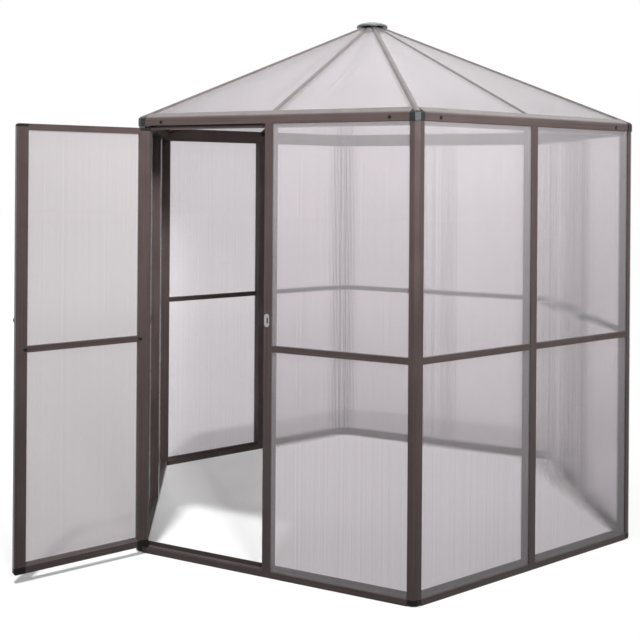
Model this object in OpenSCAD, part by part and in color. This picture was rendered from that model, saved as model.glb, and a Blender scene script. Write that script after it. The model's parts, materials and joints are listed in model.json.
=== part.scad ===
// Hexagonal greenhouse: aluminium frame, twin-wall sheet panes and one hinged door.
// X runs along the door wall, +Y into the house, +Z up.
// The origin lies on the ground, under the middle of the door wall's base rail.

/* [Walls] */
// Distance between opposite walls, over their outer faces
across_flats = 2110; // [1800:10:2600]
// Height of the eave's outer top edge
eave_h = 1793; // [1500:1:2200]
// Depth of the wall frame, outer face to inner face
frame_d = 45; // [40:1:50]
// Width of a corner post along each of its two walls
post_arm = 31; // [29:0.5:45]
// Flat cut on a post's nose, measured along each wall
post_nose = 11.5; // [6:0.5:14]
// Width of the upright in the middle of each wall
mullion_w = 35; // [30:1:50]

/* [Rails] */
// Height of the base rail's low outer lip, and of the corner feet
lip_h = 24.5; // [20:0.5:34]
// Height of the base rail's upright flange
base_h = 41; // [36:1:60]
// Depth of the ledge in front of that flange
ledge_d = 28; // [24:0.5:32]
// Thickness of that flange
flange_t = 3; // [2:0.5:5]
// Bevel round the bottom of a corner foot
foot_bevel = 5; // [2:0.5:8]
// Height of the eave beam's outer face
eave_face = 33; // [28:1:50]
// Radius of the eave beam's outer top edge
eave_round = 14; // [6:1:15]
// Depth of the eave beam's inner part behind its outer face
eave_step = 20.5; // [18:0.5:26]
// How far the eave beam's inner part hangs below its outer face
eave_drop = 16; // [8:1:30]
// Height of a mid rail
mid_rail_h = 24.5; // [18:0.5:34]
// Depth of a mid rail
mid_rail_d = 15; // [12:1:25]
// Width of the shallow channel along both faces of a mid rail
mid_channel_w = 8; // [5:0.5:9]
// Depth of that channel
mid_channel_d = 1.5; // [0.5:0.5:2]
// Height of the middle of the mid rails
mid_rail_z = 887; // [600:1:1200]

/* [Panes] */
// Thickness of a sheet
pane_t = 4; // [3:0.5:6]
// Depth of a wall sheet's outer side behind the frame's outer face
pane_inset = 4; // [3:0.5:6]
// How far a wall sheet's edge reaches into a post, mullion, base rail or eave
pane_bite = 9; // [6:0.5:12]
// How far a wall sheet's edge reaches into a mid rail
mid_bite = 8; // [5:0.5:8]

/* [Roof] */
// Rise of the roof planes from the eave's outer edge to their peak
roof_rise = 510; // [350:5:800]
// Thickness of the eave lip that covers the roof sheets' lower edges
lip_t = 3; // [2:0.5:5]
// Length of that lip up the slope
lip_len = 45; // [35:1:45]
// Width of a hip rafter
hip_w = 24; // [20:1:32]
// Height of a hip rafter under its top line
hip_d = 30; // [24:1:40]
// Distance of a hip rafter's round lower end from the sharp corner under it
hip_start = 6.5; // [5:0.5:12]
// How far a hip rafter stands over the meeting line of the roof planes
hip_proud = 1; // [0.5:0.5:3]
// Width of the flat along the top of a hip rafter
hip_flat = 8; // [4:1:12]
// How far the sloped wings beside that flat end below the meeting line
hip_fall = 4; // [2:0.5:4]
// Width of a rafter in the middle of a roof side
mid_rafter_w = 18; // [14:1:22]
// Height of such a rafter
mid_rafter_d = 26; // [20:1:36]
// Width of the flat along the top of such a rafter
mid_rafter_flat = 10; // [6:1:12]
// How far the wings beside that flat end below it
mid_rafter_fall = 1.5; // [0.5:0.5:1.5]
// Thickness of a rafter's web between two sheets
rafter_web = 6; // [4:0.5:8]
// Half the width across the flats of the twelve-sided hub
hub_r = 52; // [48:1:60]
// Height of the hub's body
hub_h = 36; // [32:1:50]
// Radius of the round cap on the peak
cap_r = 75; // [66:1:90]
// Thickness of the cap at its middle
cap_t = 20; // [14:1:30]
// Thickness of the cap at its rim
cap_rim = 4; // [2:0.5:8]
// How far the cap's rim hangs below its seat on the hub
cap_dip = 5; // [1:0.5:7]

/* [Corner fittings] */
// How far an eave connector stands out of the eave's face
connector_proud = 3; // [1:0.5:5]
// Flat cut on an eave connector's nose, measured along each wall
connector_nose = 12.5; // [8:0.5:16]
// How far an eave connector stands over the eave's outer top edge
connector_over = 1; // [0.5:0.5:3]
// Bevel round the top of an eave connector
connector_bevel = 4; // [2:0.5:6]

/* [Door] */
// Opening angle at which the door stands
door_open = 120; // [0:1:120]
// Distance of the hinge line from the corner post's edge
hinge_off = 12; // [11:0.5:16]
// Distance from the hinge line to the door's hinge edge
hinge_back = 6; // [5:0.5:7]
// Gap between the closed door and the door jamb
door_gap = 6.5; // [5:0.5:10]
// Gap under the door, above the base rail's ledge
door_foot_gap = 9.5; // [7:0.5:14]
// Gap over the door, under the eave's face
door_head_gap = 11; // [7:0.5:16]
// Distance of the door's outer side from the hinge line
door_out = 5; // [4:0.5:5.5]
// Distance of the door's inner side from the hinge line
door_in = 15; // [12:0.5:15]
// Width of a door stile
stile_w = 45; // [36:1:56]
// Height of the door's top rail
door_head_h = 25; // [20:1:40]
// Height of the upright face of the door's bottom rail
door_foot_h = 26; // [20:1:40]
// Height of the slope over that face, up to the sheet
door_foot_slope = 11; // [6:1:20]
// Height of a top corner key
key_top_h = 12; // [8:1:20]
// Height of a bottom corner key
key_foot_h = 26; // [16:1:40]
// Radius of the door's corners on the latch side
key_round = 9; // [4:1:12]
// How far a door sheet's edge reaches into its frame
door_bite = 9; // [5:0.5:10]

/* [Hinge and latch] */
// Radius of a hinge pin
pin_r = 3; // [2.5:0.25:4]
// Clearance round a hinge pin in its ear
pin_play = 0.1; // [0.05:0.01:0.1]
// Radius of a hinge ear round its bore
ear_r = 9; // [7:0.5:11]
// Thickness of a hinge ear
ear_t = 5; // [4:0.5:6]
// How far a hinge ear reaches in over the frame
ear_in = 14; // [10:1:18]
// Height of the latch over the ground
latch_z = 996; // [800:1:1200]
// Width of the strike plate
strike_w = 21; // [14:1:26]
// Height of the strike plate
strike_h = 51; // [36:1:70]
// Thickness of the strike plate
strike_t = 2; // [1:0.5:3]
// Width of the slot in the strike plate
strike_slot_w = 7; // [4:1:9]
// Height of the slot in the strike plate
strike_slot_h = 24; // [14:1:30]
// How far that slot lies from the plate's middle, away from the door
strike_slot_off = 3; // [0:0.5:4]
// Distance of the strike plate from the door jamb's door-side edge
strike_edge = 3.5; // [2:0.5:6]
// Radius of the door knob
knob_r = 17; // [12:1:22]
// How far the knob stands out of the door
knob_out = 38; // [28:1:50]

/* [Hidden] */

$fn = 48;
arc_step = 15;
frame_grey = "#5b5052";
sheet_grey = "#cdc8cc";
plastic_black = "#2b2a2c";
bright_metal = "#b9b7ba";

// Cutting solids reach this far past the faces that they open
over = 1;
sides = 6;
turn = 360 / sides;
half_turn = turn / 2;
apothem = across_flats / 2;
circumradius = apothem / cos(half_turn);
half_side = apothem * tan(half_turn);
centre_y = apothem - frame_d / 2;
post_edge = half_side - post_arm;
pane_back = pane_inset + pane_t;
flange_back = ledge_d + flange_t;
post_nose_y = post_nose * sin(half_turn);
connector_nose_y = (connector_nose - connector_proud * tan(half_turn)) * sin(half_turn)
    - connector_proud * cos(half_turn);

// Wall levels
eave_z = eave_h - eave_face;
eave_rear_z = eave_z - eave_drop;
mid_z0 = mid_rail_z - mid_rail_h / 2;
mid_z1 = mid_rail_z + mid_rail_h / 2;

// Roof planes, measured in a wall's own frame
roof_tan = roof_rise / apothem;
pitch = atan(roof_tan);
hip_pitch = atan(roof_rise / circumradius);
slope_len = apothem / cos(pitch);
hip_len = circumradius / cos(hip_pitch);
lip_run = lip_len * cos(pitch);
lip_drop = lip_t / cos(pitch);
sheet_drop = (lip_t + pane_t) / cos(pitch);
roof_seat = pane_bite;
eave_round_z = eave_round * (tan(pitch) - 1 / cos(pitch));
eave_round_steps = 5;

// Hub and cap
peak_z = eave_h + roof_rise;
hub_z1 = peak_z - hub_r * tan(hip_pitch) + hip_proud;
hub_z0 = hub_z1 - hub_h;
cap_clear = 2;
boss_r = hub_r - 2 * cap_clear;
boss_z = peak_z + (hip_proud + cap_clear) / cos(hip_pitch) - boss_r * tan(hip_pitch);
cap_rim_z = boss_z - cap_dip;

// Door leaf, measured from the hinge line
hinge_x = hinge_off - post_edge;
door_len = -mullion_w / 2 - door_gap - hinge_x;
door_z0 = lip_h + door_foot_gap;
door_z1 = eave_z - door_head_gap;
latch_stile_u = door_len - stile_w;
hinge_stile_u = stile_w - hinge_back;
door_pane_v = -pane_t / 4;
door_sheet_z0 = door_z0 + door_foot_h + door_foot_slope - door_bite;
ear_pin_gap = 1.5;

// Places what is drawn in a wall's own frame: X along the wall, Y in from its outer face
module at_wall(k) {
    translate([0, centre_y, 0])
        rotate([0, 0, turn * k])
            translate([0, -apothem, 0])
                children();
}

// Places what is drawn in a corner's own frame: Y in from the sharp corner, half way between its walls
module at_corner(k) {
    translate([0, centre_y, 0])
        rotate([0, 0, turn * k - half_turn])
            translate([0, -circumradius, 0])
                children();
}

// Places what is drawn in the door's own frame: X from the hinge line to the latch, Y in from it
module at_door() {
    at_wall(0)
        translate([hinge_x, 0, 0])
            rotate([0, 0, -door_open])
                children();
}

// Runs a section of depth and height along X
module bar_x(x0, x1) {
    translate([x0, 0, 0])
        rotate([90, 0, 90])
            linear_extrude(height = x1 - x0)
                children();
}

// Runs a section of width and height along Y
module bar_y(y0, y1) {
    translate([0, y1, 0])
        rotate([90, 0, 0])
            linear_extrude(height = y1 - y0)
                children();
}

module block(low, high) {
    translate(low) cube(high - low);
}

// A point near a corner, given along a wall from the corner and in from the wall's face
function arm_point(x, d, side) = [
    side * (x * cos(half_turn) - d * sin(half_turn)),
    x * sin(half_turn) + d * cos(half_turn)
];

module post_plan(nose, proud) {
    polygon([
        arm_point(nose - proud * tan(half_turn), -proud, -1),
        arm_point(nose - proud * tan(half_turn), -proud, 1),
        arm_point(post_arm, -proud, 1),
        arm_point(post_arm, frame_d, 1),
        [0, frame_d / cos(half_turn)],
        arm_point(post_arm, frame_d, -1),
        arm_point(post_arm, -proud, -1)
    ]);
}

// The two slots for sheet edges in a corner piece, between two heights
module corner_slots(k, z0, z1) {
    at_wall(k)
        block([-post_edge - pane_bite, pane_inset, z0], [over - post_edge, pane_back, z1]);
    at_wall(k + sides - 1)
        block([post_edge - over, pane_inset, z0], [post_edge + pane_bite, pane_back, z1]);
}

module post(k) {
    color(frame_grey)
        difference() {
            at_corner(k)
                translate([0, 0, lip_h])
                    linear_extrude(height = eave_z - lip_h)
                        post_plan(post_nose, 0);
            corner_slots(k, lip_h - over, eave_z + over);
        }
}

// What a bevel takes off a bottom edge that runs along X
module edge_cut(size) {
    bar_x(-half_side, half_side)
        polygon([[-over, -over], [size + over, -over], [-over, size + over]]);
}

module corner_feet() {
    color(plastic_black)
        for (k = [0 : sides - 1])
            difference() {
                at_corner(k)
                    linear_extrude(height = lip_h)
                        post_plan(post_nose, 0);
                corner_slots(k, lip_h - pane_bite, lip_h + over);
                at_wall(k) edge_cut(foot_bevel);
                at_wall(k + sides - 1) edge_cut(foot_bevel);
                at_corner(k)
                    translate([0, post_nose_y, 0]) edge_cut(foot_bevel);
            }
}

module connector_block(k) {
    at_corner(k)
        translate([0, 0, eave_z])
            linear_extrude(height = eave_face + connector_over)
                post_plan(connector_nose, connector_proud);
}

// What a bevel takes off a connector's top edge, at a depth in the frame that it is drawn in
module connector_cut(depth) {
    translate([0, depth, eave_h + connector_over])
        mirror([0, 0, 1])
            edge_cut(connector_bevel);
}

module eave_connectors() {
    color(plastic_black)
        for (k = [0 : sides - 1])
            difference() {
                connector_block(k);
                corner_slots(k, eave_z - over, eave_z + pane_bite);
                at_wall(k) connector_cut(-connector_proud);
                at_wall(k + sides - 1) connector_cut(-connector_proud);
                at_corner(k) connector_cut(connector_nose_y);
            }
}

module base_section() {
    polygon([
        [0, 0], [frame_d, 0], [frame_d, lip_h], [flange_back, lip_h], [flange_back, base_h],
        [ledge_d, base_h], [ledge_d, lip_h], [pane_back, lip_h], [pane_back, lip_h - pane_bite],
        [pane_inset, lip_h - pane_bite], [pane_inset, lip_h], [0, lip_h]
    ]);
}

module base_rail(k) {
    color(frame_grey)
        at_wall(k)
            bar_x(-post_edge, post_edge)
                base_section();
}

// Rise of the roof's outer plane over the eave's outer edge, at a depth in from the wall's face
function roof_up(d) = d * roof_tan;

// The round edge between the eave's lip and its outer face, at an angle about its middle
function eave_edge(a) = [eave_round * (1 + cos(a)), eave_round_z + eave_round * sin(a)];

// The eave beam's section, measured from where its lip and its outer face would meet
module eave_section() {
    edge_turn = (90 - pitch) / eave_round_steps;
    polygon(concat(
        [
            [0, -eave_face], [pane_inset, -eave_face], [pane_inset, pane_bite - eave_face],
            [pane_back, pane_bite - eave_face], [pane_back, -eave_face],
            [eave_step, -eave_face], [eave_step, -eave_face - eave_drop],
            [frame_d, -eave_face - eave_drop],
            [frame_d, roof_up(frame_d) - sheet_drop], [roof_seat, roof_up(roof_seat) - sheet_drop],
            [roof_seat, roof_up(roof_seat) - lip_drop], [lip_run, roof_up(lip_run) - lip_drop],
            [lip_run, roof_up(lip_run)]
        ],
        [for (i = [0 : eave_round_steps]) eave_edge(90 + pitch + i * edge_turn)]
    ));
}

module eave_beam(k) {
    color(frame_grey)
        at_wall(k)
            translate([0, 0, eave_h])
                bar_x(-post_edge, post_edge)
                    eave_section();
}

// The room that an eave beam takes up, with its grooves closed
module eave_room(k) {
    at_wall(k)
        translate([0, 0, eave_h])
            bar_x(-post_edge, post_edge)
                polygon([
                    [0, -eave_face], [eave_step, -eave_face], [eave_step, -eave_face - eave_drop],
                    [frame_d, -eave_face - eave_drop],
                    [frame_d, roof_up(frame_d) - sheet_drop], [lip_run, roof_up(lip_run) - sheet_drop],
                    [lip_run, roof_up(lip_run)], [0, 0]
                ]);
}

// An upright in the middle of a wall, coped over the base rail and under the eave
module upright(slot_sides) {
    difference() {
        bar_x(-mullion_w / 2, mullion_w / 2)
            polygon([
                [0, lip_h], [ledge_d, lip_h], [ledge_d, base_h], [flange_back, base_h],
                [flange_back, lip_h], [frame_d, lip_h],
                [frame_d, eave_rear_z], [eave_step, eave_rear_z], [eave_step, eave_z], [0, eave_z]
            ]);
        for (side = slot_sides)
            translate([side * (mullion_w - pane_bite + over) / 2, (pane_inset + pane_back) / 2,
                       (lip_h + eave_z) / 2])
                cube([pane_bite + over, pane_t, eave_z - lip_h + 2 * over], center = true);
    }
}

module mullions() {
    color(frame_grey)
        for (k = [1 : sides - 1])
            at_wall(k) upright([-1, 1]);
}

module door_jamb() {
    color(frame_grey)
        at_wall(0) upright([1]);
}

// A mid rail's section: a groove above and below for sheets, a shallow channel along each face
module mid_section(front, back, groove0, groove1, bite) {
    low = mid_rail_z - mid_channel_w / 2;
    high = mid_rail_z + mid_channel_w / 2;
    polygon([
        [front, mid_z0], [groove0, mid_z0], [groove0, mid_z0 + bite],
        [groove1, mid_z0 + bite], [groove1, mid_z0], [back, mid_z0],
        [back, low], [back - mid_channel_d, low], [back - mid_channel_d, high], [back, high],
        [back, mid_z1], [groove1, mid_z1], [groove1, mid_z1 - bite],
        [groove0, mid_z1 - bite], [groove0, mid_z1], [front, mid_z1],
        [front, high], [front + mid_channel_d, high], [front + mid_channel_d, low], [front, low]
    ]);
}

// The bays of a wall that hold sheets: the door takes the first wall's left bay
function bays(k) = k == 0 ? [1] : [-1, 1];

module mid_rails() {
    color(frame_grey)
        for (k = [0 : sides - 1], side = bays(k))
            at_wall(k)
                mirror([side < 0 ? 1 : 0, 0, 0])
                    bar_x(mullion_w / 2, post_edge)
                        mid_section(0, mid_rail_d, pane_inset, pane_back, mid_bite);
}

module wall_panes(k) {
    levels = [
        [lip_h - pane_bite, mid_z0 + mid_bite],
        [mid_z1 - mid_bite, eave_z + pane_bite]
    ];
    color(sheet_grey)
        at_wall(k)
            for (side = bays(k), level = levels)
                mirror([side < 0 ? 1 : 0, 0, 0])
                    block([mullion_w / 2 - pane_bite, pane_inset, level[0]],
                          [post_edge + pane_bite, pane_back, level[1]]);
}

// Draws in the slope of a wall's roof side: X along the wall, Y up the slope, Z out of it
module on_slope() {
    translate([0, 0, eave_h])
        rotate([pitch, 0, 0])
            children();
}

// Distance of a roof sheet's hip edge from the middle of its roof side, at a place up the slope
function hip_edge(s) =
    half_side * (1 - s / slope_len) - rafter_web / 2 * sqrt(1 + pow(half_side / slope_len, 2));

module roof_pane(k, side) {
    s0 = roof_seat / cos(pitch);
    s1 = slope_len - (hub_r + cap_clear) / cos(pitch) - (lip_t + pane_t) * tan(pitch);
    at_wall(k)
        on_slope()
            mirror([side < 0 ? 1 : 0, 0, 0])
                translate([0, 0, -lip_t - pane_t])
                    linear_extrude(height = pane_t)
                        polygon([
                            [rafter_web / 2, s0], [hip_edge(s0) - post_arm, s0],
                            [hip_edge(s0 + post_arm), s0 + post_arm],
                            [hip_edge(s1), s1], [rafter_web / 2, s1]
                        ]);
}

module roof_panes() {
    color(sheet_grey)
        for (k = [0 : sides - 1], side = [-1, 1])
            roof_pane(k, side);
}

module hub_prism(h) {
    translate([0, centre_y, hub_z0])
        rotate([0, 0, half_turn / 2])
            cylinder(h = h, r = hub_r / cos(half_turn / 2), $fn = 2 * sides);
}

// The room inside the hub's flats, up past the rafters' meeting point
module hub_room() {
    hub_prism(peak_z - hub_z0 + hip_d);
}

module roof_hub() {
    color(plastic_black) {
        hub_prism(hub_h);
        translate([0, centre_y, hub_z1])
            cylinder(h = boss_z - hub_z1, r = boss_r - cap_clear);
    }
}

// A rafter's section: a flat top with a sloped wing down to each side
module rafter_section(w, d, top, flat, fall) {
    polygon([
        [-w / 2, -d], [w / 2, -d], [w / 2, -fall],
        [flat / 2, top], [-flat / 2, top], [-w / 2, -fall]
    ]);
}

// A hip rafter before it is coped: X across it, Y up the hip, with a round lower end
module hip_bar() {
    end_y = hip_start + hip_w / 2;
    intersection() {
        bar_y(hip_start, hip_len)
            rafter_section(hip_w, hip_d, hip_proud, hip_flat, hip_fall);
        union() {
            block([-hip_w / 2, end_y, -hip_d], [hip_w / 2, hip_len, hip_proud]);
            translate([0, end_y, -hip_d])
                cylinder(h = hip_d + hip_proud, r = hip_w / 2);
        }
    }
}

module hip_rafters() {
    color(frame_grey)
        for (k = [0 : sides - 1])
            difference() {
                at_corner(k)
                    translate([0, 0, eave_h])
                        rotate([hip_pitch, 0, 0])
                            hip_bar();
                connector_block(k);
                eave_room(k);
                eave_room(k + sides - 1);
                roof_pane(k, -1);
                roof_pane(k + sides - 1, 1);
                hub_room();
            }
}

module mid_rafters() {
    color(frame_grey)
        for (k = [0 : sides - 1])
            difference() {
                at_wall(k)
                    on_slope()
                        bar_y(lip_len / 2, slope_len)
                            rafter_section(mid_rafter_w, mid_rafter_d, 0, mid_rafter_flat, mid_rafter_fall);
                eave_room(k);
                roof_pane(k, -1);
                roof_pane(k, 1);
                hub_room();
            }
}

module roof_cap() {
    crown_z = boss_z + cap_t;
    color(plastic_black)
        translate([0, centre_y, 0])
            rotate_extrude()
                polygon(concat(
                    [[0, boss_z], [boss_r, boss_z], [cap_r, cap_rim_z], [cap_r, cap_rim_z + cap_rim]],
                    [for (a = [arc_step : arc_step : 90])
                        [cap_r * cos(a), cap_rim_z + cap_rim + (crown_z - cap_rim_z - cap_rim) * sin(a)]]
                ));
}

// A plate on the frame with a round end about the hinge line
module hinge_ear() {
    difference() {
        union() {
            cylinder(h = ear_t, r = ear_r);
            block([-ear_r, 0, 0], [ear_r, ear_in, ear_t]);
        }
        translate([0, 0, -over]) cylinder(h = ear_t + 2 * over, r = pin_r + pin_play);
    }
}

module hinge_ears() {
    color(plastic_black)
        at_wall(0)
            translate([hinge_x, 0, 0]) {
                translate([0, 0, lip_h]) hinge_ear();
                translate([0, 0, eave_z - ear_t]) hinge_ear();
            }
}

// An upright plate with round ends, about its middle, with its thickness along Y
module round_plate(w, t, h) {
    end_z = (h - w) / 2;
    block([-w / 2, 0, -end_z], [w / 2, t, end_z]);
    for (z = [-end_z, end_z])
        translate([0, 0, z])
            rotate([-90, 0, 0])
                cylinder(h = t, r = w / 2);
}

module strike_plate() {
    color(bright_metal)
        at_wall(0)
            translate([strike_edge + (strike_w - mullion_w) / 2, -strike_t, latch_z])
                difference() {
                    round_plate(strike_w, strike_t, strike_h);
                    translate([strike_slot_off, -over, 0])
                        round_plate(strike_slot_w, strike_t + 2 * over, strike_slot_h);
                }
}

// A door stile, with a groove for the sheets on its inner edge
module door_stile(u0, groove_u) {
    difference() {
        block([u0, -door_out, door_z0 + key_foot_h], [u0 + stile_w, door_in, door_z1 - key_top_h]);
        block([groove_u, door_pane_v, door_z0], [groove_u + door_bite + over, door_pane_v + pane_t, door_z1]);
    }
}

module door_hinge_stile() {
    color(frame_grey)
        at_door() door_stile(-hinge_back, hinge_stile_u - door_bite);
}

module door_latch_stile() {
    color(frame_grey)
        at_door() door_stile(latch_stile_u, latch_stile_u - over);
}

module door_top_rail() {
    color(frame_grey)
        at_door()
            bar_x(hinge_stile_u, latch_stile_u)
                polygon([
                    [-door_out, door_z1], [-door_out, door_z1 - door_head_h],
                    [door_pane_v, door_z1 - door_head_h],
                    [door_pane_v, door_z1 - door_head_h + door_bite],
                    [door_pane_v + pane_t, door_z1 - door_head_h + door_bite],
                    [door_pane_v + pane_t, door_z1 - door_head_h],
                    [door_in, door_z1 - door_head_h], [door_in, door_z1]
                ]);
}

module door_mid_rail() {
    color(frame_grey)
        at_door()
            bar_x(hinge_stile_u, latch_stile_u)
                mid_section(-door_out, door_in - door_out, door_pane_v, door_pane_v + pane_t, mid_bite);
}

module door_bottom_rail() {
    top_z = door_z0 + door_foot_h + door_foot_slope;
    color(frame_grey)
        at_door()
            bar_x(hinge_stile_u, latch_stile_u)
                polygon([
                    [-door_out, door_z0], [door_in, door_z0], [door_in, door_z0 + door_foot_h],
                    [door_pane_v + pane_t + pane_t / 2, top_z], [door_pane_v + pane_t, top_z],
                    [door_pane_v + pane_t, door_sheet_z0], [door_pane_v, door_sheet_z0],
                    [door_pane_v, top_z], [-door_out, top_z]
                ]);
}

module door_panes() {
    levels = [
        [door_sheet_z0, mid_z0 + mid_bite],
        [mid_z1 - mid_bite, door_z1 - door_head_h + door_bite]
    ];
    color(sheet_grey)
        at_door()
            for (level = levels)
                block([hinge_stile_u - door_bite, door_pane_v, level[0]],
                      [latch_stile_u + door_bite, door_pane_v + pane_t, level[1]]);
}

// A door corner key, as wide as a stile
module door_key(h) {
    cube([stile_w, door_in + door_out, h]);
}

// A key for the latch side, round at its outer lower corner
module latch_key(h) {
    difference() {
        door_key(h);
        difference() {
            translate([stile_w - key_round, -over, -over])
                cube([key_round + over, door_in + door_out + 2 * over, key_round + over]);
            translate([stile_w - key_round, -2 * over, key_round])
                rotate([-90, 0, 0])
                    cylinder(h = door_in + door_out + 4 * over, r = key_round);
        }
    }
}

// The four corner keys; the two at the hinge carry its pins
module door_corner_keys() {
    color(plastic_black)
        at_door() {
            translate([-hinge_back, -door_out, door_z0]) door_key(key_foot_h);
            translate([-hinge_back, -door_out, door_z1 - key_top_h]) door_key(key_top_h);
            translate([latch_stile_u, -door_out, door_z0]) latch_key(key_foot_h);
            translate([latch_stile_u, -door_out, door_z1])
                mirror([0, 0, 1])
                    latch_key(key_top_h);
            translate([0, 0, lip_h + ear_pin_gap])
                cylinder(h = door_foot_gap - ear_pin_gap, r = pin_r);
            translate([0, 0, door_z1])
                cylinder(h = door_head_gap - ear_pin_gap, r = pin_r);
        }
}

module door_knob() {
    head_t = knob_out / 2;
    neck_r = knob_r / 2;
    color(plastic_black)
        at_door()
            translate([latch_stile_u + stile_w / 2, -door_out, latch_z])
                rotate([90, 0, 0])
                    rotate_extrude()
                        polygon(concat(
                            [[0, 0], [knob_r, 0], [knob_r, knob_out / 9], [neck_r, knob_out / 6]],
                            [for (a = [-4 * arc_step : arc_step : 90])
                                [knob_r * cos(a), knob_out + head_t / 2 * (sin(a) - 1)]]
                        ));
}

base_rail(0);  // base_rail_front
base_rail(1);  // base_rail_front_right
base_rail(2);  // base_rail_back_right
base_rail(3);  // base_rail_back
base_rail(4);  // base_rail_back_left
base_rail(5);  // base_rail_front_left
eave_beam(0);  // eave_beam_front
eave_beam(1);  // eave_beam_front_right
eave_beam(2);  // eave_beam_back_right
eave_beam(3);  // eave_beam_back
eave_beam(4);  // eave_beam_back_left
eave_beam(5);  // eave_beam_front_left
post(0);  // post_front_left
post(1);  // post_front_right
post(2);  // post_right
post(3);  // post_back_right
post(4);  // post_back_left
post(5);  // post_left
wall_panes(0);  // panes_front
wall_panes(1);  // panes_front_right
wall_panes(2);  // panes_back_right
wall_panes(3);  // panes_back
wall_panes(4);  // panes_back_left
wall_panes(5);  // panes_front_left
door_jamb();
mullions();
mid_rails();
corner_feet();
eave_connectors();
hip_rafters();
mid_rafters();
roof_panes();
roof_hub();
roof_cap();
hinge_ears();
strike_plate();
door_hinge_stile();
door_latch_stile();
door_top_rail();
door_mid_rail();
door_bottom_rail();
door_panes();
door_corner_keys();
door_knob();
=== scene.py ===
import json
import math

import bpy
from mathutils import Matrix, Vector

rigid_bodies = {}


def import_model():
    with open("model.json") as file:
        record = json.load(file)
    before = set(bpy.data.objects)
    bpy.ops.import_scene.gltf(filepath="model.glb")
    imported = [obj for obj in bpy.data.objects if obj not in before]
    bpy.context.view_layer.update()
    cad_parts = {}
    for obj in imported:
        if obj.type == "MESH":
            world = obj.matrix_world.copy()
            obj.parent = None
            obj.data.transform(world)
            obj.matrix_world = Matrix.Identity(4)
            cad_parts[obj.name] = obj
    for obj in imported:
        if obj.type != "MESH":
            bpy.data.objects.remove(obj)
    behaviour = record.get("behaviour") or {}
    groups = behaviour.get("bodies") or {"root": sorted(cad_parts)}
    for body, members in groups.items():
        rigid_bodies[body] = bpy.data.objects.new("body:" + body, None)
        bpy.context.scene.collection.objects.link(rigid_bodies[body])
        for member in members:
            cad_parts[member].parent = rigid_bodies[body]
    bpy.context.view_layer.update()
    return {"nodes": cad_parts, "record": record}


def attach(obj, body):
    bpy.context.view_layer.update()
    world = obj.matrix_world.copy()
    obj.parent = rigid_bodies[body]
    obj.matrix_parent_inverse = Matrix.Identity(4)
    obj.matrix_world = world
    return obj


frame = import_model()
nodes = frame["nodes"]
print("frame loaded:", len(nodes), "nodes")

# metres: the hexagon stands round (0, centreY), and the door hangs at (hingeX, hingeY)
house = {"centreY": 1.0325, "flats": 2.110, "sides": 6, "hingeX": -0.5661, "hingeY": -0.0225}
door = {"open": -120.0}  # degrees from shut, as it stands at rest


def deselectAll():
    for each in bpy.context.view_layer.objects:
        each.select_set(False)
    bpy.context.view_layer.objects.active = None


# camera, fitted to the lines of the base, eaves, posts and door; focal, centre and picture are in pixels
view = {"place": (1.7662, -3.3275, 1.5463), "heading": 114.956, "roll": 0.0072,
        "focal": 966.4, "centre": (322.0, 178.76), "picture": 640, "sensor": 36, "far": 100}


def addCamera():
    data = bpy.data.cameras.new("photoView")
    cam = bpy.data.objects.new("photoView", data)
    bpy.context.scene.collection.objects.link(cam)
    turn = math.radians(view["heading"])
    ahead = Vector((math.cos(turn), math.sin(turn), 0))
    level = Vector((math.sin(turn), -math.cos(turn), 0))
    right = level * math.cos(view["roll"]) + Vector((0, 0, 1)) * math.sin(view["roll"])
    up = right.cross(ahead)
    facing = Matrix((right, up, -ahead)).transposed().to_4x4()
    cam.matrix_world = Matrix.Translation(view["place"]) @ facing
    middle = view["picture"] / 2
    data.sensor_width = view["sensor"]
    data.lens = view["focal"] / view["picture"] * view["sensor"]
    data.shift_x = (middle - view["centre"][0]) / view["picture"]
    data.shift_y = (view["centre"][1] - middle) / view["picture"]
    data.clip_end = view["far"]
    bpy.context.scene.camera = cam


addCamera()
print("camera set")

noiseRange = (0.3, 0.7)  # the values that most of a noise lies between


# small helpers for node trees
def link(tree, source, target):
    tree.links.new(source, target)


# a number or colour is set on the socket, and a node's output is linked to it
def feed(tree, value, socket):
    if isinstance(value, (int, float, tuple)):
        socket.default_value = value
    else:
        link(tree, value, socket)


def mathNode(tree, kind, *values):
    node = tree.nodes.new("ShaderNodeMath")
    node.operation = kind
    for index, value in enumerate(values):
        feed(tree, value, node.inputs[index])
    return node.outputs[0]


def noiseNode(tree, vector, scale, detail=3.0, rough=0.5):
    node = tree.nodes.new("ShaderNodeTexNoise")
    node.inputs["Detail"].default_value = detail
    node.inputs["Roughness"].default_value = rough
    feed(tree, scale, node.inputs["Scale"])
    link(tree, vector, node.inputs["Vector"])
    return node.outputs["Fac"]


# in a colour mix the factor is socket 0, the colours are 6 and 7, and the result is output 2
def mixColour(tree, amount, first, second):
    node = tree.nodes.new("ShaderNodeMix")
    node.data_type = "RGBA"
    for index, value in ((0, amount), (6, first), (7, second)):
        feed(tree, value, node.inputs[index])
    return node.outputs[2]


def spread(tree, value, fromLow, fromHigh, toLow, toHigh):
    node = tree.nodes.new("ShaderNodeMapRange")
    link(tree, value, node.inputs["Value"])
    ends = {"From Min": fromLow, "From Max": fromHigh, "To Min": toLow, "To Max": toHigh}
    for name, number in ends.items():
        node.inputs[name].default_value = number
    return node.outputs[0]


def splitVector(tree, vector):
    parts = tree.nodes.new("ShaderNodeSeparateXYZ")
    link(tree, vector, parts.inputs[0])
    return parts.outputs


def stretchVector(tree, vector, scale):
    node = tree.nodes.new("ShaderNodeMapping")
    node.inputs["Scale"].default_value = scale
    link(tree, vector, node.inputs["Vector"])
    return node.outputs[0]


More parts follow.
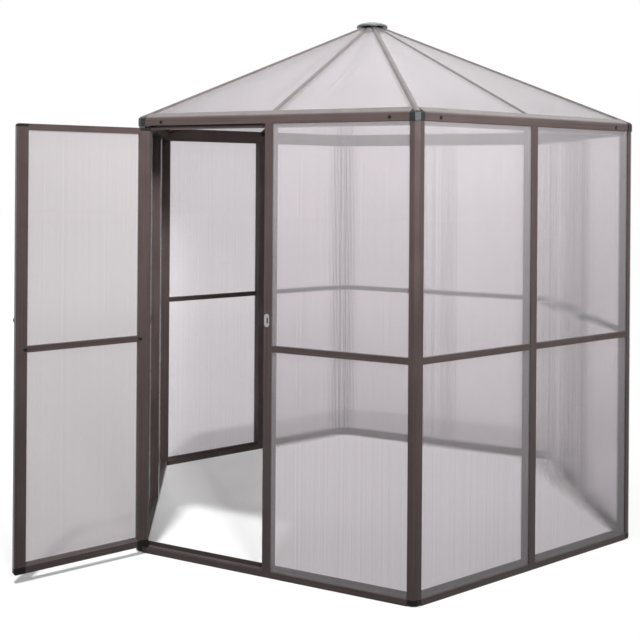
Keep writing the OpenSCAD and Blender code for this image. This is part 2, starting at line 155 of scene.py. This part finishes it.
def newGroup(name, inputs, outputs):
    tree = bpy.data.node_groups.new(name, "ShaderNodeTree")
    for way, sockets in (("INPUT", inputs), ("OUTPUT", outputs)):
        for label, kind in sockets.items():
            tree.interface.new_socket(name=label, in_out=way, socket_type="NodeSocket" + kind)
    start = tree.nodes.new("NodeGroupInput")
    end = tree.nodes.new("NodeGroupOutput")
    return tree, start.outputs, end.inputs


# powder coat: mottled colour, fine speckle, drawn lines along a bar, and pale patches on what faces up,
# partly dust and partly painted light that makes upper faces lighter
coat = {"cloudScale": 6.0, "cloudTone": 0.7, "speckleTone": 0.3, "lineScale": 240.0, "lineTone": (-0.5, 0.5),
        "dustAndTopLightScale": 14.0, "dustAndTopLightSlope": (0.35, 0.9), "dustAndTopLightCover": (0.6, 1.0),
        "dustAndTopLightColour": (0.46, 0.44, 0.45, 1), "speckleDepth": 0.0004}


def buildCoatGroup():
    tree, given, out = newGroup(
        "powderCoat",
        {"Vector": "Vector", "Up": "Float", "Bar Vector": "Vector", "Drawn": "Float", "Dark": "Color",
         "Light": "Color", "Speckle Scale": "Float", "Dust And Top Light": "Float", "Smooth": "Float", "Rough": "Float"},
        {"Color": "Color", "Roughness": "Float", "Height": "Float"})
    cloud = noiseNode(tree, given["Vector"], coat["cloudScale"], 4.0, 0.55)
    speckle = noiseNode(tree, given["Vector"], given["Speckle Scale"], 1.0)
    lines = noiseNode(tree, given["Bar Vector"], coat["lineScale"], 2.0)
    patches = noiseNode(tree, given["Vector"], coat["dustAndTopLightScale"], 5.0, 0.6)
    blend = mathNode(tree, "ADD", spread(tree, cloud, *noiseRange, 0.0, coat["cloudTone"]),
                     spread(tree, speckle, *noiseRange, 0.0, coat["speckleTone"]))
    drawn = spread(tree, lines, *noiseRange, *coat["lineTone"])
    lined = mathNode(tree, "MULTIPLY_ADD", drawn, given["Drawn"], blend)
    clean = mixColour(tree, lined, given["Dark"], given["Light"])
    # faces that look up turn paler: painted top light and sheen, broken into dust patches
    level = spread(tree, given["Up"], *coat["dustAndTopLightSlope"], 0.0, 1.0)
    settledAndLit = mathNode(tree, "MULTIPLY", level, spread(tree, patches, *noiseRange, *coat["dustAndTopLightCover"]))
    dustAndTopLight = mathNode(tree, "MULTIPLY", settledAndLit, given["Dust And Top Light"])
    link(tree, mixColour(tree, dustAndTopLight, clean, coat["dustAndTopLightColour"]), out["Color"])
    reach = mathNode(tree, "SUBTRACT", given["Rough"], given["Smooth"])
    mottle = spread(tree, cloud, *noiseRange, 0.0, 1.0)
    link(tree, mathNode(tree, "MULTIPLY_ADD", mottle, reach, given["Smooth"]), out["Roughness"])
    link(tree, speckle, out["Height"])
    return tree


# flutes of a twin-wall sheet: ribs across a length, soft streaks and a little haze
flute = {"pitch": 0.0058, "streakScale": 110.0, "hazeScale": 2.2}


def buildFluteGroup():
    tree, given, out = newGroup(
        "fluteSheet",
        {"Along": "Float", "Vector": "Vector", "Pitch": "Float"},
        {"Streak": "Float", "Rib": "Float", "Haze": "Float"})
    phase = mathNode(tree, "DIVIDE", given["Along"], given["Pitch"])
    wave = mathNode(tree, "SINE", mathNode(tree, "MULTIPLY", phase, 2 * math.pi))
    link(tree, mathNode(tree, "MULTIPLY_ADD", wave, 0.5, 0.5), out["Rib"])
    line = tree.nodes.new("ShaderNodeTexNoise")
    line.noise_dimensions = "1D"
    line.inputs["Scale"].default_value = 1.0
    line.inputs["Detail"].default_value = 5.0
    line.inputs["Roughness"].default_value = 0.7
    link(tree, mathNode(tree, "MULTIPLY", given["Along"], flute["streakScale"]), line.inputs["W"])
    link(tree, line.outputs["Fac"], out["Streak"])
    link(tree, noiseNode(tree, given["Vector"], flute["hazeScale"]), out["Haze"])
    return tree


coatGroup = buildCoatGroup()
fluteGroup = buildFluteGroup()


def newMaterial(name):
    mat = bpy.data.materials.new(name)
    mat.use_nodes = True
    tree = mat.node_tree
    tree.nodes.clear()
    out = tree.nodes.new("ShaderNodeOutputMaterial")
    shader = tree.nodes.new("ShaderNodeBsdfPrincipled")
    link(tree, shader.outputs[0], out.inputs["Surface"])
    coords = tree.nodes.new("ShaderNodeTexCoord").outputs["Object"]
    return mat, tree, shader, coords


def placeGroup(tree, group, values):
    node = tree.nodes.new("ShaderNodeGroup")
    node.node_tree = group
    for label, value in values.items():
        feed(tree, value, node.inputs[label])
    return node.outputs


def addBump(tree, shader, height, strength, depth):
    bump = tree.nodes.new("ShaderNodeBump")
    bump.inputs["Strength"].default_value = strength
    bump.inputs["Distance"].default_value = depth
    link(tree, height, bump.inputs["Height"])
    link(tree, bump.outputs[0], shader.inputs["Normal"])


# stretch draws the lines out along a bar, and drawn is how strongly they show
def coatMaterial(name, tone, stretch=(1, 1, 1), drawn=0.0):
    mat, tree, shader, coords = newMaterial(name)
    normal = tree.nodes.new("ShaderNodeNewGeometry").outputs["Normal"]
    made = placeGroup(tree, coatGroup, {
        "Vector": coords, "Up": splitVector(tree, normal)["Z"],
        "Bar Vector": stretchVector(tree, coords, stretch), "Drawn": drawn,
        "Dark": (*tone["dark"], 1), "Light": (*tone["light"], 1), "Speckle Scale": tone["speckle"],
        "Dust And Top Light": tone["dustAndTopLight"], "Smooth": tone["smooth"], "Rough": tone["rough"]})
    link(tree, made["Color"], shader.inputs["Base Color"])
    link(tree, made["Roughness"], shader.inputs["Roughness"])
    shader.inputs["Specular Tint"].default_value = (*tone["gloss"], 1)
    addBump(tree, shader, made["Height"], tone["bump"], coat["speckleDepth"])
    return mat


# distance along a wall or eave, from its middle, for all six sides at once
def alongWall(tree, coords):
    parts = splitVector(tree, coords)
    x = parts["X"]
    y = mathNode(tree, "SUBTRACT", parts["Y"], house["centreY"])
    side = 2 * math.pi / house["sides"]
    angle = mathNode(tree, "ARCTAN2", y, x)
    fold = mathNode(tree, "SUBTRACT", mathNode(tree, "FLOORED_MODULO", angle, side), side / 2)
    square = mathNode(tree, "ADD", mathNode(tree, "MULTIPLY", y, y), mathNode(tree, "MULTIPLY", x, x))
    return mathNode(tree, "MULTIPLY", mathNode(tree, "SQRT", square), mathNode(tree, "SINE", fold))


# distance along the open door
def alongDoor(tree, coords):
    parts = splitVector(tree, coords)
    turn = math.radians(door["open"])
    x = mathNode(tree, "MULTIPLY", parts["X"], math.cos(turn))
    y = mathNode(tree, "MULTIPLY", parts["Y"], math.sin(turn))
    return mathNode(tree, "ADD", x, y)


# levels are the ends of the lower, upper and roof sheets; hold keeps scattered light from filling the room
sheet = {"levels": (0.03, 0.887, 1.78, 2.29), "headTone": 0.34, "streakRange": (0.25, 0.75),
         "streakTone": (-0.04, 0.50), "hazeTone": (0.0, 0.15), "roughRange": (0.2, 0.8),
         "rough": (0.008, 0.016), "bend": 1.2, "ribDepth": 0.00012, "streakDepth": 1.7, "hold": 0.45}
houseTone = {"dark": (0.683, 0.650, 0.670, 1), "light": (0.829, 0.790, 0.812, 1),
             "through": 0.84, "shade": 0.75}
# the door's sheets are the same sheet as the house's, in a darker copy: painted shade
doorTone = {"dark": (0.52, 0.494, 0.50, 1), "light": (0.585, 0.555, 0.563, 1),
            "through": 0.87, "shade": 0.1}


# 0 at the foot of each sheet and 1 at its head; the total stays just under a whole number at the peak
def upSheet(tree, coords):
    height = splitVector(tree, coords)["Z"]
    levels = sheet["levels"]
    rises = [spread(tree, height, low, high, 0.0, 1.0) for low, high in zip(levels, levels[1:])]
    total = mathNode(tree, "ADD", mathNode(tree, "ADD", rises[0], rises[1]), rises[2])
    return mathNode(tree, "FRACT", mathNode(tree, "MULTIPLY", total, 0.9999))


def sheetMaterial(name, along, tone):
    mat, tree, shader, coords = newMaterial(name)
    made = placeGroup(tree, fluteGroup, {
        "Along": along(tree, coords), "Vector": coords, "Pitch": flute["pitch"]})
    streak = made["Streak"]
    cloud = mathNode(tree, "ADD", spread(tree, streak, *sheet["streakRange"], *sheet["streakTone"]),
                     spread(tree, made["Haze"], *noiseRange, *sheet["hazeTone"]))
    amount = mathNode(tree, "MULTIPLY_ADD", upSheet(tree, coords), sheet["headTone"], cloud)
    milk = mixColour(tree, amount, tone["dark"], tone["light"])
    path = tree.nodes.new("ShaderNodeLightPath").outputs
    held = mathNode(tree, "MULTIPLY", path["Is Diffuse Ray"], sheet["hold"])
    link(tree, mixColour(tree, held, milk, (0, 0, 0, 1)), shader.inputs["Base Color"])
    roughness = spread(tree, streak, *sheet["roughRange"], *sheet["rough"])
    link(tree, roughness, shader.inputs["Roughness"])
    shader.inputs["IOR"].default_value = sheet["bend"]
    shader.inputs["Transmission Weight"].default_value = tone["through"]
    height = mathNode(tree, "MULTIPLY_ADD", streak, sheet["streakDepth"], made["Rib"])
    addBump(tree, shader, height, 1.0, sheet["ribDepth"])
    cover = mathNode(tree, "MULTIPLY_ADD", path["Is Shadow Ray"], tone["shade"] - 1, 1.0)
    link(tree, cover, shader.inputs["Alpha"])
    return mat


steelTone = {"dark": (0.27, 0.265, 0.27, 1), "light": (0.46, 0.45, 0.46, 1), "grainScale": 2500.0,
             "stretch": (1, 1, 0.04), "rough": (0.28, 0.45), "metal": 0.85}


def steelMaterial():
    mat, tree, shader, coords = newMaterial("brightSteel")
    drawn = stretchVector(tree, coords, steelTone["stretch"])
    grain = noiseNode(tree, drawn, steelTone["grainScale"], 2.0, 0.6)
    colour = mixColour(tree, grain, steelTone["dark"], steelTone["light"])
    link(tree, colour, shader.inputs["Base Color"])
    link(tree, spread(tree, grain, *noiseRange, *steelTone["rough"]), shader.inputs["Roughness"])
    shader.inputs["Metallic"].default_value = steelTone["metal"]
    return mat


bronzeTone = {"dark": (0.046, 0.033, 0.032), "light": (0.063, 0.047, 0.046), "gloss": (0.35, 0.32, 0.33),
              "speckle": 1100.0, "bump": 0.15, "smooth": 0.17, "rough": 0.27, "dustAndTopLight": 0.16}
blackTone = {"dark": (0.010, 0.010, 0.010), "light": (0.020, 0.020, 0.021), "gloss": (0.34, 0.355, 0.38),
             "speckle": 700.0, "bump": 0.4, "smooth": 0.33, "rough": 0.46, "dustAndTopLight": 0.02}
footTone = {"dark": (0.006, 0.006, 0.006), "light": (0.012, 0.012, 0.012), "gloss": (0.15, 0.15, 0.15),
            "speckle": 700.0, "bump": 0.4, "smooth": 0.45, "rough": 0.6, "dustAndTopLight": 0.02}
# the cap's high dust setting paints its top lighter than its sides: a painted highlight
capTone = {"dark": (0.040, 0.043, 0.042), "light": (0.060, 0.064, 0.063), "gloss": (0.28, 0.29, 0.29),
           "speckle": 500.0, "bump": 0.3, "smooth": 0.3, "rough": 0.42, "dustAndTopLight": 0.42}
bronze = coatMaterial("bronzeCoat", bronzeTone)
bronzeUpright = coatMaterial("bronzeUpright", bronzeTone, (1, 1, 0.01), 1.0)
bronzeLevel = coatMaterial("bronzeLevel", bronzeTone, (0.01, 0.01, 1), 1.0)
black = coatMaterial("blackFitting", blackTone)
footBlack = coatMaterial("footBlack", footTone)
capGrey = coatMaterial("capGrey", capTone)
houseSheet = sheetMaterial("houseSheet", alongWall, houseTone)
doorSheet = sheetMaterial("doorSheet", alongDoor, doorTone)
steel = steelMaterial()


def dressNodes():
    slots = {entry["node"]: entry["material_slot"] for entry in frame["record"]["subparts"]}
    finish = {"frame_metal": bronze, "fitting": black, "bright_metal": steel, "sheet": houseSheet}
    special = {"door_panes": doorSheet, "corner_feet": footBlack,
               "door_corner_keys": footBlack, "roof_cap": capGrey}
    uprights = ("post", "mullion", "jamb", "stile")
    levels = ("base_rail", "eave_beam", "mid_rail", "top_rail", "bottom_rail")
    for name, node in nodes.items():
        mat = special.get(name, finish[slots[name]])
        if mat is bronze and any(word in name for word in uprights):
            mat = bronzeUpright
        elif mat is bronze and any(word in name for word in levels):
            mat = bronzeLevel
        node.data.materials.clear()
        node.data.materials.append(mat)


dressNodes()
print("materials set")


# cross-head screws: one head is modelled, then copied to each place; twists are in degrees
screw = {"radius": 0.0066, "height": 0.0034, "sides": 20, "crown": 0.0022, "crownSteps": 3,
         "crossLong": 0.0076, "crossWide": 0.0014, "crossDeep": 0.0019, "crossTaper": 0.7,
         "seat": 0.0004, "smooth": 35.0}
eaveScrew = {"fromCorner": 0.110, "z": 1.774, "wallTwist": 17, "endTwist": 31}
doorScrew = {"z": 0.887, "along": (0.032, 0.5045), "faces": (0.015, -0.005), "twist": 400}
plateScrew = {"along": -0.0035, "z": (0.9773, 1.0147), "out": 0.0019, "scale": 0.47, "twist": 500}


# selects the faces that look along a direction
def pickFaces(piece, direction):
    bpy.ops.object.mode_set(mode="OBJECT")
    for face in piece.data.polygons:
        face.select = face.normal.dot(Vector(direction)) > 0.9
    bpy.ops.object.mode_set(mode="EDIT")


def makeScrewHead():
    deselectAll()
    bpy.ops.mesh.primitive_cube_add(size=1, location=(0, 0, screw["height"]))
    cross = bpy.context.active_object
    cross.scale = (screw["crossLong"], screw["crossWide"], screw["crossDeep"] * 2)
    bpy.ops.object.transform_apply(location=True, rotation=True, scale=True)
    bpy.ops.object.mode_set(mode="EDIT")
    bpy.ops.mesh.select_mode(type="FACE")
    for way in (1, -1):
        pickFaces(cross, (way, 0, 0))
        bpy.ops.transform.resize(value=(1, screw["crossTaper"], 1))
    bpy.ops.object.mode_set(mode="OBJECT")
    deselectAll()
    bpy.ops.mesh.primitive_cylinder_add(vertices=screw["sides"], radius=screw["radius"],
                                        depth=screw["height"], location=(0, 0, screw["height"] / 2))
    head = bpy.context.active_object
    head.name = "screwHead"
    bpy.ops.object.transform_apply(location=True, rotation=True, scale=True)
    bpy.ops.object.mode_set(mode="EDIT")
    bpy.ops.mesh.select_mode(type="FACE")
    pickFaces(head, (0, 0, 1))
    bpy.ops.mesh.bevel(offset=screw["crown"], segments=screw["crownSteps"], affect="EDGES")
    bpy.ops.object.mode_set(mode="OBJECT")
    for turn in (0, 90):
        cross.rotation_euler = (0, 0, math.radians(turn))
        cut = head.modifiers.new("cross", "BOOLEAN")
        cut.operation = "DIFFERENCE"
        cut.object = cross
        bpy.context.view_layer.objects.active = head
        bpy.context.view_layer.update()
        bpy.ops.object.modifier_apply(modifier=cut.name)
    bpy.data.objects.remove(cross, do_unlink=True)
    return head


# a copy of a piece with its own mesh, set with its own Z along a direction
def setCopy(source, name, place, outward, twist):
    copy = source.copy()
    copy.data = source.data.copy()
    copy.name = name
    bpy.context.scene.collection.objects.link(copy)
    turn = Vector(outward).to_track_quat("Z", "Y").to_matrix().to_4x4()
    spin = Matrix.Rotation(math.radians(twist), 4, "Z")
    copy.data.transform(Matrix.Translation(place) @ turn @ spin)
    return copy


def joinPieces(pieces, name):
    deselectAll()
    for piece in pieces:
        piece.select_set(True)
    bpy.context.view_layer.objects.active = pieces[0]
    bpy.ops.object.join()
    whole = bpy.context.active_object
    whole.name = name
    bpy.ops.object.shade_smooth_by_angle(angle=math.radians(screw["smooth"]))
    return whole


# a place on a wall's outer face, by distance from the wall's middle, and the way that wall faces
def wallPlace(wall, along, out, z):
    turn = math.radians(360 / house["sides"] * wall)
    outward = Vector((math.sin(turn), -math.cos(turn), 0))
    side = Vector((math.cos(turn), math.sin(turn), 0))
    spot = outward * (house["flats"] / 2 + out) + side * along + Vector((0, house["centreY"], z))
    return spot, outward


# a place on the open door, by distance from the hinge, and the way its inner face looks
def doorPlace(along, inward, z):
    turn = math.radians(door["open"])
    side = Vector((math.cos(turn), math.sin(turn), 0))
    inside = Vector((-math.sin(turn), math.cos(turn), 0))
    hinge = Vector((house["hingeX"], house["hingeY"], z))
    return hinge + side * along + inside * inward, inside


def finishScrews(heads, name, mat, body):
    screws = joinPieces(heads, name)
    screws.data.materials.clear()
    screws.data.materials.append(mat)
    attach(screws, body)
    print(name, "set:", len(heads))


def addEaveScrews(head):
    half = house["flats"] / 2 * math.tan(math.pi / house["sides"])
    heads = []
    for wall in range(house["sides"]):
        for way in (-1, 1):
            along = way * (half - eaveScrew["fromCorner"])
            spot, outward = wallPlace(wall, along, -screw["seat"], eaveScrew["z"])
            twist = eaveScrew["wallTwist"] * wall + eaveScrew["endTwist"] * way
            heads.append(setCopy(head, "eaveScrew", spot, outward, twist))
    finishScrews(heads, "eaveScrews", footBlack, "house")


def addDoorScrews(head):
    heads = []
    for along in doorScrew["along"]:
        for face in doorScrew["faces"]:
            spot, inside = doorPlace(along, face, doorScrew["z"])
            outward = inside if face > 0 else -inside
            seated = spot - outward * screw["seat"]
            heads.append(setCopy(head, "doorScrew", seated, outward, doorScrew["twist"] * along))
    finishScrews(heads, "doorScrews", footBlack, "door")


def addPlateScrews(head):
    head.data.transform(Matrix.Scale(plateScrew["scale"], 4))
    heads = []
    for z in plateScrew["z"]:
        spot, outward = wallPlace(0, plateScrew["along"], plateScrew["out"], z)
        heads.append(setCopy(head, "plateScrew", spot, outward, plateScrew["twist"] * z))
    finishScrews(heads, "plateScrews", steel, "house")


def addScrews():
    head = makeScrewHead()
    addEaveScrews(head)
    addDoorScrews(head)
    addPlateScrews(head)  # last, because it makes the head smaller
    bpy.data.objects.remove(head, do_unlink=True)


addScrews()

# floor, world and lamps; glow and fade brighten the floor that shows through the sheets, more so far off
stage = {"size": 60.0, "rough": 0.9, "floor": (0.95, 0.95, 0.95, 1), "bounce": (0.22, 0.22, 0.22, 1),
         "behind": (0.40, 0.40, 0.40, 1), "lift": 0.06, "glow": (0.53, 0.61), "fade": (2.2, 8.0),
         "world": 0.33}
sun = {"from": (0.10, -0.33, 1.0), "power": 2.15, "soft": 4.0}
softBox = {"place": (6.0, -6.0, 4.6), "aim": (0.35, 0.1, 2.6), "size": 1.8, "spread": 32.0, "power": 86.0}
white = (1, 1, 1, 1)


# two masks: what the eye meets directly, and what it meets in a reflection or through a sheet
def seenByEye(tree):
    path = tree.nodes.new("ShaderNodeLightPath").outputs
    bent = mathNode(tree, "MAXIMUM", path["Is Glossy Ray"], path["Is Transmission Ray"])
    fresh = mathNode(tree, "LESS_THAN", path["Diffuse Depth"], 0.5)
    return path["Is Camera Ray"], mathNode(tree, "MULTIPLY", bent, fresh)


def addFloor():
    deselectAll()
    bpy.ops.mesh.primitive_plane_add(size=stage["size"], location=(0, house["centreY"], 0))
    floor = bpy.context.active_object
    floor.name = "floor"
    bpy.ops.object.transform_apply(location=True, rotation=True, scale=True)
    mat, tree, shader, coords = newMaterial("paleFloor")
    shader.inputs["Roughness"].default_value = stage["rough"]
    shader.inputs["Specular IOR Level"].default_value = 0.0
    shader.inputs["Emission Color"].default_value = white
    direct, bent = seenByEye(tree)
    ground = mixColour(tree, direct, stage["bounce"], stage["floor"])
    link(tree, mixColour(tree, bent, ground, stage["behind"]), shader.inputs["Base Color"])
    away = tree.nodes.new("ShaderNodeVectorMath")
    away.operation = "LENGTH"
    link(tree, coords, away.inputs[0])
    glow = spread(tree, away.outputs["Value"], *stage["fade"], *stage["glow"])
    lift = mathNode(tree, "MULTIPLY", direct, stage["lift"])
    link(tree, mathNode(tree, "MULTIPLY_ADD", bent, glow, lift), shader.inputs["Emission Strength"])
    floor.data.materials.append(mat)


def addWorld():
    world = bpy.data.worlds.new("studio")
    bpy.context.scene.world = world
    world.use_nodes = True
    tree = world.node_tree
    tree.nodes.clear()
    out = tree.nodes.new("ShaderNodeOutputWorld")
    ground = tree.nodes.new("ShaderNodeBackground")
    seen = mathNode(tree, "ADD", *seenByEye(tree))
    strength = mathNode(tree, "MULTIPLY_ADD", seen, 1.0 - stage["world"], stage["world"])
    link(tree, strength, ground.inputs["Strength"])
    ground.inputs["Color"].default_value = white
    link(tree, ground.outputs[0], out.inputs["Surface"])


# a lamp shines against the direction that it is given
def addLamp(name, kind, power, source):
    data = bpy.data.lights.new(name, kind)
    data.energy = power
    lamp = bpy.data.objects.new(name, data)
    bpy.context.scene.collection.objects.link(lamp)
    lamp.rotation_euler = Vector(source).to_track_quat("Z", "Y").to_euler()
    return lamp


def addSun():
    lamp = addLamp("keyLight", "SUN", sun["power"], sun["from"])
    lamp.data.angle = math.radians(sun["soft"])


def addSoftBox():
    source = Vector(softBox["place"]) - Vector(softBox["aim"])
    lamp = addLamp("softBox", "AREA", softBox["power"], source)
    lamp.data.size = softBox["size"]
    lamp.data.spread = math.radians(softBox["spread"])
    lamp.location = softBox["place"]
    lamp.visible_camera = False


addFloor()
addWorld()
addSun()
addSoftBox()
bpy.context.scene.view_settings.view_transform = "Standard"
print("stage set")
